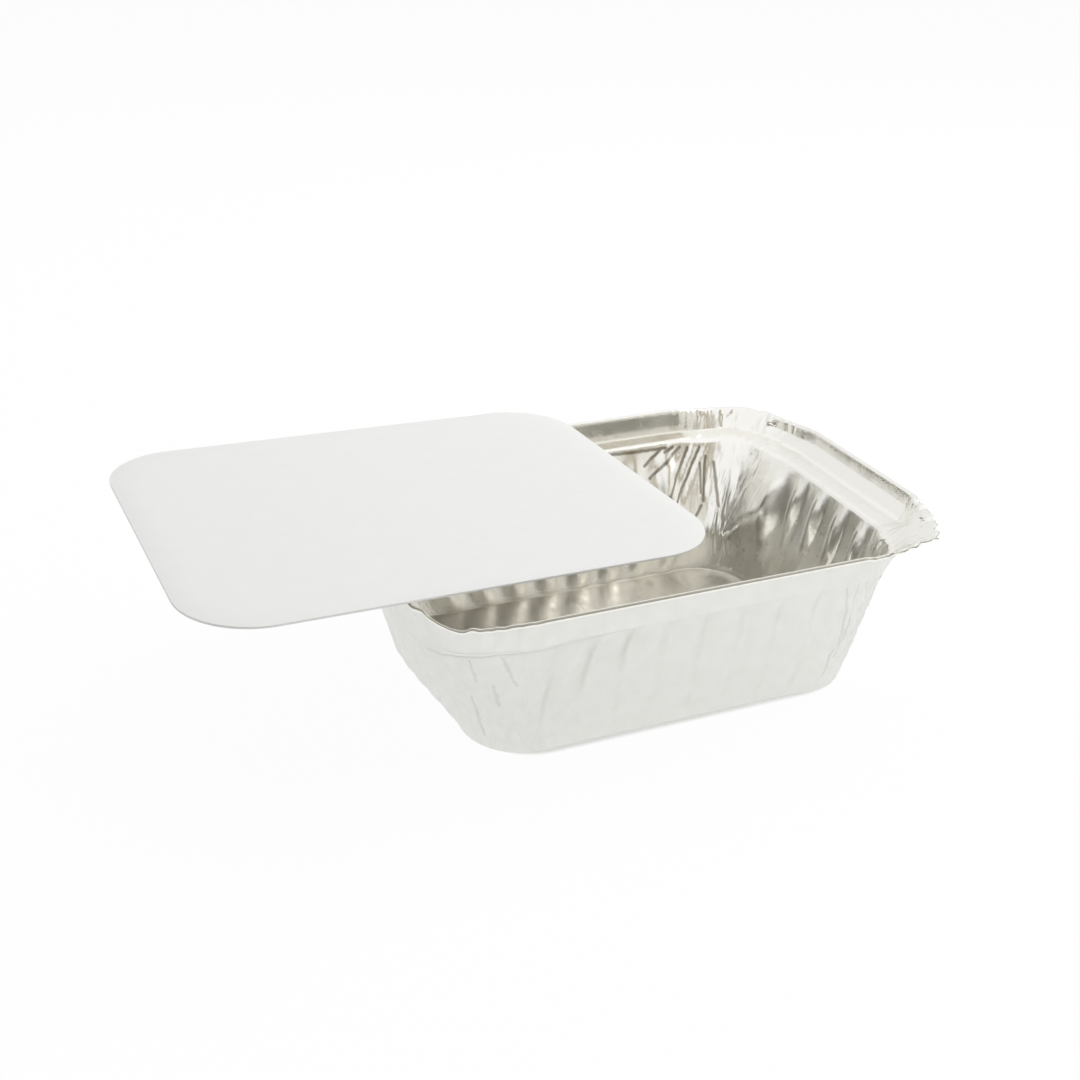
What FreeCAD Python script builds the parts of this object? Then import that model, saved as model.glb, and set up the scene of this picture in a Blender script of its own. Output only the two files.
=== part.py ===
import FreeCAD, Part
import Sketcher
import math
import os

# Rectangular takeaway container pressed from one sheet of aluminium foil, with its board lid
# laid askew on the rim. Millimetres. The origin is the middle of the flat base, on its
# underside; +X runs along the long front side, +Y to the back, +Z up.

doc = FreeCAD.newDocument("foil_container")
sheet = doc.addObject("Spreadsheet::Sheet", "Sizes")

SIZES = [
    ("tray_length", 147.0),         # along the rim, between the flanges' creases
    ("tray_width", 110.5),
    ("rim_height", 49.1),           # top of the rolled bead
    ("flange_height", 7.5),         # from the ledge to the top of the bead
    ("ledge_width", 6.2),
    ("wall_inset", 10.2),           # how far the foot of the wall stands in from its top
    ("end_wall_extra_inset", 1.0),  # the end walls slope a little more
    ("rim_corner_radius", 16.3),
    ("ledge_corner_radius", 10.5),  # inner edge of the ledge
    ("foot_corner_radius", 16.0),
    ("foot_bend_radius", 2.5),      # between the floor and the wall
    ("ledge_bend_radius", 1.0),
    ("foil_thickness", 0.1),
    ("bead_diameter", 1.3),
    ("flute_pitch", 10.9),
    ("flute_depth", 1.3),
    ("flutes_on_long_wall", 8),
    ("flutes_on_short_wall", 5),
    ("pleats_in_corner", 15),
    ("pleat_depth", 0.9),
    ("ragged_depth", 1.1),          # how far the rim dips between the gathers of a corner
    ("lean_right", 3.1),            # how far each stretch of the flange leans out at its top
    ("lean_left", 2.0),
    ("lean_splayed_corner", 2.4),   # the front right corner
    ("lean_other_corners", 1.8),
    ("tuck_reach", 13.0),           # a pushed in corner starts to turn this far before its middle
    ("tuck_splayed_foot", -2.0),    # how far that corner is pushed in at each height
    ("tuck_splayed_wall", 5.4),
    ("tuck_splayed_ledge", 7.0),
    ("tuck_splayed_rim", 4.0),
    ("raise_splayed_ledge", 3.5),   # and how far its ledge is bent up
    ("tuck_blunt_foot", -0.2),      # the same at the front left corner
    ("tuck_blunt_rim", 3.2),
    ("end_swing", 2.6),             # the foot of the left wall stands askew by this much
    ("end_swing_reach", 28.0),
    ("end_swing_middle", 5.0),
    ("lifted_from", 62.0),          # the rim bends up under the lid beyond this distance
    ("board_thickness", 0.6),
    ("lid_end_clearance", 4.1),     # lid to rim, at each end
    ("lid_side_clearance", 0.8),    # lid to rim, at each long side
    ("lid_corner_radius", 19.4),
    ("lid_shift_left", 58.1),       # middle of the lid from the middle of the tray
    ("lid_shift_back", 10.7),
    ("lid_turn_angle", 4.9),
    ("lid_tilt_angle", 3.2),        # left end up
    ("lid_contact_reach", 7.3),     # where the lid's right edge crosses the back rim
    ("rest_clearance", 0.2),
]
for line, (alias, value) in enumerate(SIZES, start=1):
    sheet.set("A%d" % line, alias)
    sheet.set("B%d" % line, str(value))
    sheet.setAlias("B%d" % line, alias)
doc.recompute()


def size(alias):
    return float(sheet.get(alias))


def smooth(share):
    """Eased step: 0 below 0, 1 above 1, with level ends."""
    share = max(0.0, min(1.0, share))
    return share * share * (3.0 - 2.0 * share)


# The sheet's section, from the edge of the floor to the tip of the rolled bead

def row(inset, height, radius, down=0.0, flute=0.0, pleat_out=0.0, pleat_up=0.0, rim=0.0,
        lean=0.0):
    """One line round the tray: its inset from the rim, its height, its corner radius, and
    the shares of the wall's depth, flute, pleat, rim lift and lean that it takes."""
    return dict(inset=inset, height=height, radius=radius, down=down, flute=flute,
                pleat_out=pleat_out, pleat_up=pleat_up, rim=rim, lean=lean)


def foot_rows():
    """Floor edge and the bend up into the wall."""
    bend = size("foot_bend_radius")
    foot_inset = size("ledge_width") + size("wall_inset")
    slope = math.atan(size("wall_inset") / (size("rim_height") - size("flange_height")))
    half_foil = size("foil_thickness") / 2
    rows = []
    for share in (0.0, 0.5):
        turn = (math.pi / 2 - slope) * share
        inset = foot_inset + bend * (1.0 - math.sin(turn))
        height = half_foil + bend * (1.0 - math.cos(turn))
        rows.append(row(inset, height, size("foot_corner_radius") - inset + foot_inset,
                        down=1.0, pleat_out=0.15 * share))
    return rows


def wall_rows():
    """The tapered wall: flutes between the corners, pleats that open towards the rim."""
    ledge_height = size("rim_height") - size("flange_height")
    rows = []
    shares = ((0.07, 0.45, 0.25), (0.26, 1.0, 0.5), (0.62, 1.0, 0.85), (0.93, 0.55, 1.0))
    for up, flute, pleat in shares:
        inset = size("ledge_width") + size("wall_inset") * (1.0 - up)
        corner = size("foot_corner_radius") + up * (size("ledge_corner_radius")
                                                    - size("foot_corner_radius"))
        rows.append(row(inset, ledge_height * up, corner, down=1.0 - up, flute=flute,
                        pleat_out=pleat))
    return rows


def rim_rows():
    """The ledge, the upright flange and the bead rolled outwards along its top."""
    ledge_height = size("rim_height") - size("flange_height")
    bend = size("ledge_bend_radius")
    rim_radius = size("rim_corner_radius")
    rows = [row(size("ledge_width") - bend, ledge_height, size("ledge_corner_radius") + bend,
                pleat_out=0.4, pleat_up=0.5),
            row(0.0, ledge_height, rim_radius, pleat_out=0.8, pleat_up=0.2, rim=1.0)]
    roll = (size("bead_diameter") - size("foil_thickness")) / 2
    roll_height = size("rim_height") - size("bead_diameter") / 2
    for angle in (180.0, 115.0, 50.0, -15.0):
        out = roll + roll * math.cos(math.radians(angle))
        height = roll_height + roll * math.sin(math.radians(angle))
        lean = (height - ledge_height) / (roll_height - ledge_height)
        rows.append(row(-out, height, rim_radius + out, pleat_out=0.9, rim=1.0, lean=lean))
    return rows


# Where the section's lines run, seen from above

def flute_stations(count):
    """Places along a fluted wall, in pitches from its middle, each with its share of a ridge."""
    stations = []
    for number in range(count):
        for offset in (-0.5, -0.22, 0.0, 0.22):
            along = number - (count - 1) / 2 + offset
            ridge = (0.5 + 0.5 * math.cos(2 * math.pi * offset)) ** 1.5
            stations.append((along, ridge))
    return stations


def wall_points(line, quarter, count):
    """Points of one line along the fluted stretch of one wall, counter-clockwise."""
    half_along, half_out = half_sizes(line, quarter)
    pitch = fluted_half(line, half_along, count) / (count / 2)
    points = []
    for along, ridge in flute_stations(count):
        out = half_out - size("flute_depth") * ridge * line["flute"]
        points.append((out, along * pitch, 0.0, 0.0))
    return points


def fluted_half(line, half_along, count):
    """Half the fluted stretch: the flutes close up where the wall has less straight length."""
    return min(count * size("flute_pitch") / 2, half_along - line["radius"])


def half_sizes(line, quarter):
    """Half the length of a wall and its distance from the middle, for one line."""
    half_x = size("tray_length") / 2 - line["inset"]
    half_x -= size("end_wall_extra_inset") * line["down"]
    half_y = size("tray_width") / 2 - line["inset"]
    return (half_y, half_x) if quarter % 2 == 0 else (half_x, half_y)


def corner_points(line, quarter, count, next_count):
    """Points of one line round the corner that follows a wall: straight, arc, straight."""
    half_along, half_out = half_sizes(line, quarter)
    radius = line["radius"]
    start = fluted_half(line, half_along, count)
    end = fluted_half(line, half_out, next_count)
    first = half_along - radius - start
    arc = radius * math.pi / 2
    last = half_out - radius - end
    steps = 2 * int(size("pleats_in_corner"))
    points = []
    for step in range(steps):
        share = step / steps
        way = share * (first + arc + last)
        if way < first:
            out, along, turn = half_out, start + way, 0.0
        elif way < first + arc:
            turn = (way - first) / radius
            out = half_out - radius + radius * math.cos(turn)
            along = half_along - radius + radius * math.sin(turn)
        else:
            out, along, turn = half_out - radius - (way - first - arc), half_along, math.pi / 2
        fade = math.sin(math.pi * share) ** 0.5
        uneven = 0.65 + 0.35 * math.sin(2.3 * step + 1.7 * quarter)
        pleat = size("pleat_depth") * fade * uneven * (-1) ** step
        ragged = size("ragged_depth") * fade * (0.5 - 0.5 * math.sin(1.9 * step + quarter))
        out += math.cos(turn) * pleat * line["pleat_out"]
        along += math.sin(turn) * pleat * line["pleat_out"]
        drop = ragged * line["lean"]
        points.append((out, along, pleat * line["pleat_up"] - drop, turn))
    return points


def lean_at(quarter, turn):
    """How far the flange's top leans out at a direction, eased from wall to corner to wall."""
    walls = (size("lean_right"), 0.0, size("lean_left"), 0.0)
    corners = (size("lean_other_corners"), size("lean_other_corners"),
               size("lean_other_corners"), size("lean_splayed_corner"))
    share = turn / (math.pi / 4)
    if share < 1.0:
        return walls[quarter] + smooth(share) * (corners[quarter] - walls[quarter])
    after = walls[(quarter + 1) % 4]
    return corners[quarter] + smooth(share - 1.0) * (after - corners[quarter])


def corner_share(line, x, y):
    """How near a point is to the middle of the front corner on its side, from 0 to 1."""
    half_y, half_x = half_sizes(line, 0)
    far = (half_x + half_y - (2 - math.sqrt(2)) * line["radius"]) / math.sqrt(2)
    return smooth(1 + ((abs(x) - y) / math.sqrt(2) - far) / size("tuck_reach"))


def tuck_at(line, x):
    """How far the foil is pushed in at the middle of the front corner on that side, by height."""
    if x > 0:
        wall = size("tuck_splayed_foot") * line["down"] + size("tuck_splayed_wall") * (1 - line["down"])
        flare = size("tuck_splayed_rim") - size("tuck_splayed_ledge")
        rim = size("tuck_splayed_ledge") + flare * line["lean"]
    else:
        rim = size("tuck_blunt_rim")
        wall = size("tuck_blunt_foot") * line["down"] + rim * (1 - line["down"])
    return wall + (rim - wall) * line["rim"]


def raise_at(line, x):
    """The ledge's outer edge is bent up at the splayed corner, so the flange is low there."""
    return size("raise_splayed_ledge") * line["rim"] * (1 - line["lean"]) if x > 0 else 0.0


def end_shift(x, y):
    """The foot of the left wall isn't square to the tray: further out at the back than at the front."""
    reach = (y + size("end_swing_middle")) / size("end_swing_reach")
    swing = math.sin(math.pi / 2 * max(-1.0, min(1.0, reach)))
    return -size("end_swing") * swing * smooth((-x - 30) / 20)


def lid_rise(x):
    """How much higher the tilted lid stands at x than where it meets the back rim."""
    return (size("lid_contact_reach") - x) * math.tan(math.radians(size("lid_tilt_angle")))


def rim_lift(x):
    """The left end of the rim is bent up to carry the lid."""
    reach = size("tray_length") / 2 - size("lifted_from")
    return lid_rise(x) * smooth((-x - size("lifted_from")) / reach)


def ring(line):
    """One closed line of the sheet as points, counter-clockwise from the right wall."""
    counts = (int(size("flutes_on_short_wall")), int(size("flutes_on_long_wall"))) * 2
    points = []
    for quarter in range(4):
        places = wall_points(line, quarter, counts[quarter])
        places += corner_points(line, quarter, counts[quarter], counts[(quarter + 1) % 4])
        facing = quarter * math.pi / 2
        for out, along, up, turn in places:
            shift = lean_at(quarter, turn) * line["lean"]
            out += shift * math.cos(turn)
            along += shift * math.sin(turn)
            x = out * math.cos(facing) - along * math.sin(facing)
            y = out * math.sin(facing) + along * math.cos(facing)
            near = corner_share(line, x, y)
            up += rim_lift(x) * line["rim"] + raise_at(line, x) * near
            tuck = tuck_at(line, x) * near / math.sqrt(2)
            x += end_shift(x, y) * line["down"] - tuck * math.copysign(1, x)
            y += tuck
            points.append(FreeCAD.Vector(x, y, line["height"] + up))
    return points


def sheet_faces(rings):
    """The two faces of the foil, half its thickness to each side of the middle surface."""
    half_foil = size("foil_thickness") / 2
    inner, outer = [], []
    last = len(rings) - 1
    for number, points in enumerate(rings):
        below = rings[max(number - 1, 0)]
        above = rings[min(number + 1, last)]
        for place, point in enumerate(points):
            round_way = points[(place + 1) % len(points)] - points[place - 1]
            up_way = above[place] - below[place]
            normal = up_way.cross(round_way)
            normal.normalize()
            if number == 0:
                normal = FreeCAD.Vector(0, 0, 1)
            inner.append(point + normal * half_foil)
            outer.append(point - normal * half_foil)
    return inner, outer


def bands(count, rows):
    """Triangles between neighbouring rings of the upper face."""
    facets = []
    for number in range(rows - 1):
        low = number * count
        for place in range(count):
            after = (place + 1) % count
            quad = (low + count + place, low + count + after, low + after, low + place)
            facets += [(quad[0], quad[1], quad[2]), (quad[0], quad[2], quad[3])]
    return facets


def floor_strips(count):
    """Triangles across the flat floor, from one corner's middle to the opposite corner's."""
    corner = count - int(size("pleats_in_corner"))
    facets = []
    for step in range(count // 2 - 1):
        low, high = corner + step, corner - 1 - step
        quad = [place % count for place in (low, low + 1, high - 1, high)]
        facets += [(quad[0], quad[1], quad[2]), (quad[0], quad[2], quad[3])]
    return facets


def both_faces(facets, under):
    """The upper face's triangles and the same ones turned over on the lower face, so the foil keeps its
    thickness inside each triangle too."""
    return facets + [(under + last, under + middle, under + first) for first, middle, last in facets]


def foil_solid():
    rings = [ring(line) for line in foot_rows() + wall_rows() + rim_rows()]
    inner, outer = sheet_faces(rings)
    count = len(rings[0])
    rows = len(rings)
    under = len(inner)
    facets = both_faces(bands(count, rows) + floor_strips(count), under)
    tip = (rows - 1) * count
    for place in range(count):
        after = (place + 1) % count
        quad = (tip + place, under + tip + place, under + tip + after, tip + after)
        facets += [(quad[0], quad[1], quad[2]), (quad[0], quad[2], quad[3])]
    surface = Part.Shape()
    surface.makeShapeFromMesh((inner + outer, facets), size("foil_thickness") / 100, False)
    return Part.makeSolid(Part.makeShell(surface.Faces))


foil_tray = doc.addObject("Part::Feature", "FoilTray")
foil_tray.Label = "foil_tray"
foil_tray.Shape = foil_solid()
foil_tray.Placement = FreeCAD.Placement()


# The lid: one flat piece of board, cut with round corners

def origin_plane(body, role):
    return next(item for item in body.Origin.OriginFeatures if item.Role == role)


def rounded_rectangle(sketch, length, width, radius):
    """Four sides and four arcs, held symmetric about the sketch's origin."""
    x, y = length / 2, width / 2
    corners = ((x, y, 0), (-x, y, 90), (-x, -y, 180), (x, -y, 270))
    arcs = []
    for corner_x, corner_y, start in corners:
        centre = FreeCAD.Vector(corner_x - math.copysign(radius, corner_x),
                                corner_y - math.copysign(radius, corner_y), 0)
        circle = Part.Circle(centre, FreeCAD.Vector(0, 0, 1), radius)
        arc = Part.ArcOfCircle(circle, math.radians(start), math.radians(start + 90))
        arcs.append(sketch.addGeometry(arc, False))
    sides = []
    for number in range(4):
        here = sketch.Geometry[arcs[number]].EndPoint
        there = sketch.Geometry[arcs[(number + 1) % 4]].StartPoint
        sides.append(sketch.addGeometry(Part.LineSegment(here, there), False))
    for number in range(4):
        after = (number + 1) % 4
        sketch.addConstraint(Sketcher.Constraint("Tangent", arcs[number], 2, sides[number], 1))
        sketch.addConstraint(Sketcher.Constraint("Tangent", sides[number], 2, arcs[after], 1))
    for number, way in enumerate(("Horizontal", "Vertical", "Horizontal", "Vertical")):
        sketch.addConstraint(Sketcher.Constraint(way, sides[number]))
    for number in (1, 2, 3):
        sketch.addConstraint(Sketcher.Constraint("Equal", arcs[0], arcs[number]))
    sketch.addConstraint(Sketcher.Constraint("Symmetric", arcs[0], 3, arcs[2], 3, -1, 1))
    measures = (("Radius", arcs[0], radius),
                ("DistanceX", sides[1], 1, sides[3], 1, length),
                ("DistanceY", sides[2], 1, sides[0], 1, width))
    return [sketch.addConstraint(Sketcher.Constraint(*measure)) for measure in measures]


lid_length = size("tray_length") - 2 * size("lid_end_clearance")
lid_width = size("tray_width") - 2 * size("lid_side_clearance")

board_lid = doc.addObject("PartDesign::Body", "BoardLid")
board_lid.Label = "board_lid"
outline = board_lid.newObject("Sketcher::SketchObject", "LidOutline")
outline.AttachmentSupport = [(origin_plane(board_lid, "XY_Plane"), "")]
outline.MapMode = "FlatFace"
radius_of, length_of, width_of = rounded_rectangle(outline, lid_length, lid_width,
                                                   size("lid_corner_radius"))
outline.setExpression("Constraints[%d]" % radius_of, "Sizes.lid_corner_radius * 1 mm")
outline.setExpression("Constraints[%d]" % length_of,
                      "(Sizes.tray_length - 2 * Sizes.lid_end_clearance) * 1 mm")
outline.setExpression("Constraints[%d]" % width_of,
                      "(Sizes.tray_width - 2 * Sizes.lid_side_clearance) * 1 mm")
outline.AttachmentOffset = FreeCAD.Placement(
    FreeCAD.Vector(0, 0, 0), FreeCAD.Rotation(FreeCAD.Vector(0, 0, 1), size("lid_turn_angle")))
outline.setExpression("AttachmentOffset.Rotation.Angle", "Sizes.lid_turn_angle * 1 deg")
doc.recompute()

board = board_lid.newObject("PartDesign::Pad", "Board")
board.Profile = outline
board.setExpression("Length", "Sizes.board_thickness * 1 mm")

board_lid.Placement = FreeCAD.Placement(
    FreeCAD.Vector(0, 0, 0), FreeCAD.Rotation(FreeCAD.Vector(0, 1, 0), size("lid_tilt_angle")))
board_lid.setExpression("Placement.Rotation.Angle", "Sizes.lid_tilt_angle * 1 deg")
board_lid.setExpression("Placement.Base.x", "-Sizes.lid_shift_left * 1 mm")
board_lid.setExpression("Placement.Base.y", "Sizes.lid_shift_back * 1 mm")
board_lid.setExpression(
    "Placement.Base.z",
    "(Sizes.rim_height + Sizes.rest_clearance + (Sizes.lid_contact_reach + "
    "Sizes.lid_shift_left) * tan(Sizes.lid_tilt_angle * 1 deg)) * 1 mm")
doc.recompute()


# Every object is sound before anything is written

for item in doc.Objects:
    if "Invalid" in item.State or "Error" in item.State:
        raise RuntimeError("%s failed: %s" % (item.Name, item.State))

os.makedirs("parts", exist_ok=True)
for piece in (foil_tray, board_lid):
    shape = piece.Shape
    if shape.isNull() or not shape.isValid() or not shape.Solids:
        raise RuntimeError("%s has no sound shape" % piece.Label)
    box = shape.BoundBox
    print("%s: %d solid, %d faces, volume %.1f mm3, x %.2f..%.2f y %.2f..%.2f z %.2f..%.2f" % (
        piece.Label, len(shape.Solids), len(shape.Faces), shape.Volume,
        box.XMin, box.XMax, box.YMin, box.YMax, box.ZMin, box.ZMax))
    shape.exportStep("parts/%s.step" % piece.Label)
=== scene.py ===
import math
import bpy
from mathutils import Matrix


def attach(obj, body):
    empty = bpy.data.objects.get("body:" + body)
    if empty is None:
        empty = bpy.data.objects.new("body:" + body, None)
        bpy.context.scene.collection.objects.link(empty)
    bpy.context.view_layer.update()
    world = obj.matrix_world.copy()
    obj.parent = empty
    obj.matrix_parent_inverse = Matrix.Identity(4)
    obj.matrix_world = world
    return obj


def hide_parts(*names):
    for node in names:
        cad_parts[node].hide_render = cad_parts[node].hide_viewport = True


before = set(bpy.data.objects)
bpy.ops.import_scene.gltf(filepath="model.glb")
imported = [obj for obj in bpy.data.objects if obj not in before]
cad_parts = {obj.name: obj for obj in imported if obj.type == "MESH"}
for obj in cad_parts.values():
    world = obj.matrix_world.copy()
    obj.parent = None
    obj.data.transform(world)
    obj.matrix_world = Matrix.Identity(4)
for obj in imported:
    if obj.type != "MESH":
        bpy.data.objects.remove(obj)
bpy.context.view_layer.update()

from types import SimpleNamespace
import bpy
import numpy as np
from mathutils import Matrix, Vector

mm = 0.001


# camera: stands in front and to the left, looking down over the front wall into the tray
cameraSetup = {
    "place": (-144.7, -310.7, 204.9),   # mm
    "azimuth": -21.38,                  # degrees, 0 looks along +Y
    "elevation": 26.26,
    "lens": 45.46,                      # mm, on a 36 mm wide sensor
}


def makeCamera(setup):
    cameraData = bpy.data.cameras.new("photoCamera")
    cameraData.lens = setup["lens"]
    cameraData.sensor_width = 36.0
    cameraData.clip_start, cameraData.clip_end = 0.01, 20.0
    camera = bpy.data.objects.new("photoCamera", cameraData)
    bpy.context.scene.collection.objects.link(camera)
    turn, rise = math.radians(setup["azimuth"]), math.radians(setup["elevation"])
    back = Vector((math.sin(turn) * math.cos(rise), -math.cos(turn) * math.cos(rise), math.sin(rise)))
    camera.location = Vector(setup["place"]) * mm
    camera.rotation_euler = (-back).to_track_quat("-Z", "Y").to_euler()
    bpy.context.scene.camera = camera


makeCamera(cameraSetup)
print("camera ready")


# small helpers

def easeStep(share):
    share = np.clip(share, 0.0, 1.0)    # 3s^2 - 2s^3: level at both ends
    return share * share * (3.0 - 2.0 * share)


def hexColour(code):
    # sRGB hex to linear, alpha 1
    channels = [int(code[i:i + 2], 16) / 255 for i in (1, 3, 5)]
    linear = [c / 12.92 if c <= 0.04045 else ((c + 0.055) / 1.055) ** 2.4 for c in channels]
    return (*linear, 1.0)


def latticeHeights(x, y, seed, crisp=False):
    # random heights at the corners of a unit lattice; between them eased blends, or flat
    # triangles when crisp, which reads as creased foil
    side = 128    # cells, after which the lattice repeats
    table = np.random.default_rng(seed).uniform(-1, 1, (side, side))
    ix, iy = np.floor(x).astype(int), np.floor(y).astype(int)
    fx, fy = x - ix, y - iy

    def corner(a, b):
        return table[(ix + a) % side, (iy + b) % side]
    near, beside, above, far = corner(0, 0), corner(1, 0), corner(0, 1), corner(1, 1)
    if crisp:
        lower = near + fx * (beside - near) + fy * (above - near)
        upper = far + (1 - fx) * (above - far) + (1 - fy) * (beside - far)
        return np.where(fx + fy < 1, lower, upper)
    fx, fy = easeStep(fx), easeStep(fy)
    low = near * (1 - fx) + beside * fx
    high = above * (1 - fx) + far * fx
    return low * (1 - fy) + high * fy


def meshFromArrays(name, points, quads, tris, uvs=None):
    # points in mm; quads and tris are index arrays
    mesh = bpy.data.meshes.new(name)
    corners = np.concatenate([quads.ravel(), tris.ravel()]).astype(np.int32)
    starts = np.concatenate([np.arange(len(quads)) * 4, len(quads) * 4 + np.arange(len(tris)) * 3])
    mesh.vertices.add(len(points))
    mesh.vertices.foreach_set("co", (points * mm).astype(np.float32).ravel())
    mesh.loops.add(len(corners))
    mesh.loops.foreach_set("vertex_index", corners)
    mesh.polygons.add(len(starts))
    mesh.polygons.foreach_set("loop_start", starts.astype(np.int32))
    mesh.update(calc_edges=True)
    mesh.validate()
    if uvs is not None:
        layer = mesh.uv_layers.new(name="sheet")
        layer.data.foreach_set("uv", uvs[corners].astype(np.float32).ravel())
    piece = bpy.data.objects.new(name, mesh)
    bpy.context.scene.collection.objects.link(piece)
    return piece


# the tray: sizes in mm, the same as the part's
tray = {
    "length": 147.0, "width": 110.5, "rimHeight": 49.1, "flangeHeight": 7.5,
    "ledgeWidth": 6.2, "wallInset": 10.2, "endExtraInset": 1.0,
    "rimCorner": 16.3, "ledgeCorner": 10.5, "footCorner": 16.0,
    "foil": 0.1, "bead": 1.3,
    "flutePitch": 10.9, "flutesLong": 8, "flutesShort": 5,
    "leanRight": 3.1, "leanLeft": 2.0,    # how far the end flanges' tops stand out
    # how far the front right corner is pushed in at foot, wall, ledge and rim, and its ledge bent up
    "tuckReach": 13.0, "splayed": (-2.0, 5.4, 7.0, 4.0), "raised": 3.5,
    "blunt": (-0.2, 3.2),           # the same at foot and rim of the front left corner
    "endSwing": (2.6, 28.0, 5.0),   # the left wall's foot stands askew: by, within, about
    "liftedFrom": 62.0, "lidTilt": 3.2, "lidContact": 7.3,    # degrees for the tilt
}
# what the foil has beyond that, in mm where no other unit is named
trayDetail = {
    "stepsPerFlute": 14, "stepsPerCorner": 116,
    "footBend": 0.6, "ledgeBend": 1.3,       # radii of the foil's soft turns
    "ledgeDrop": 0.9,                        # the ledge's inner edge is lower than its outer one
    "backLedgeUp": 0.65,                     # less so along the back
    "fluteShort": 1.9, "fluteLong": 1.3,     # depth of the end walls' and long walls' flutes
    "wallWave": 0.12,                        # slow waviness of all the walls
    # one value a wall: right, back, left, front
    "lowFlute": (0.1, 1.0, 0.6, 0.8),        # share of the flutes' depth low on the wall
    "ridgeSharp": (3.0, 1.6, 1.6, 1.6),      # higher is a narrower ridge
    # one value a corner: back right, back left, front left, front right
    "gathers": (26, 22, 15, 20),
    "gatherDepth": (0.14, 0.5, 0.3, 0.3),
    "crumple": (0.4, 0.4, 0.15, 0.8),
    "flangePleats": (0.45, 0.3, 0.1, 0.7),
    "ragged": (0.5, 0.5, 0.5, 0.8),          # dips of the rim
    "leanCorners": (2.7, 1.8, 1.8, 2.4),     # how far the flange's top stands out
    "cornerWay": 52.0,                       # the length that a corner's folds are spread over
    "pleatPitch": 1.1, "toothPitch": 2.2,
    "bentAt": 0.5,                           # share of its height where the right flange turns upright
    # the back right corner: share of its crumples that its back end lacks, its rim's way in along the
    # diagonal, its flange's loss of height, and its wall pushed in to a soft fold, which rises by
    # bulgeRise along the end wall, so that the upper half leans back
    "smoothBack": 0.75, "tuckedBack": 3.4, "lowBack": 1.0,
    "bulge": 4.4, "bulgeHeight": 15.0, "bulgeRise": 11.0,
    "pulledOut": 5.0,    # at the front left the ledge is pulled out nearly flat into the wall
    # soft folds fanning down the back wall: x and height of the upper and the lower end, width, depth
    "folds": (
        (40.0, 41.0, 30.5, 35.0, 1.8, 0.25), (45.0, 39.4, 31.9, 31.0, 1.8, 0.3),
        (46.6, 39.0, 36.2, 22.5, 1.8, 0.35), (50.1, 39.0, 38.6, 20.8, 1.8, 0.35),
        (50.9, 35.0, 49.0, 23.0, 1.8, 0.3),
    ),
    "beadShadeRows": (5, 3),    # rows of the bead, counted from its tip, given a darker colour: painted shade of the gap under the roll
    "seed": 21,
}
floorScales = (0.3, 0.6, 0.85, 0.97)    # rings of the flat floor, as shares of its outline
rightEnd, backSide, leftEnd, frontSide = range(4)    # each wall's number, and that of the corner after it


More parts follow.
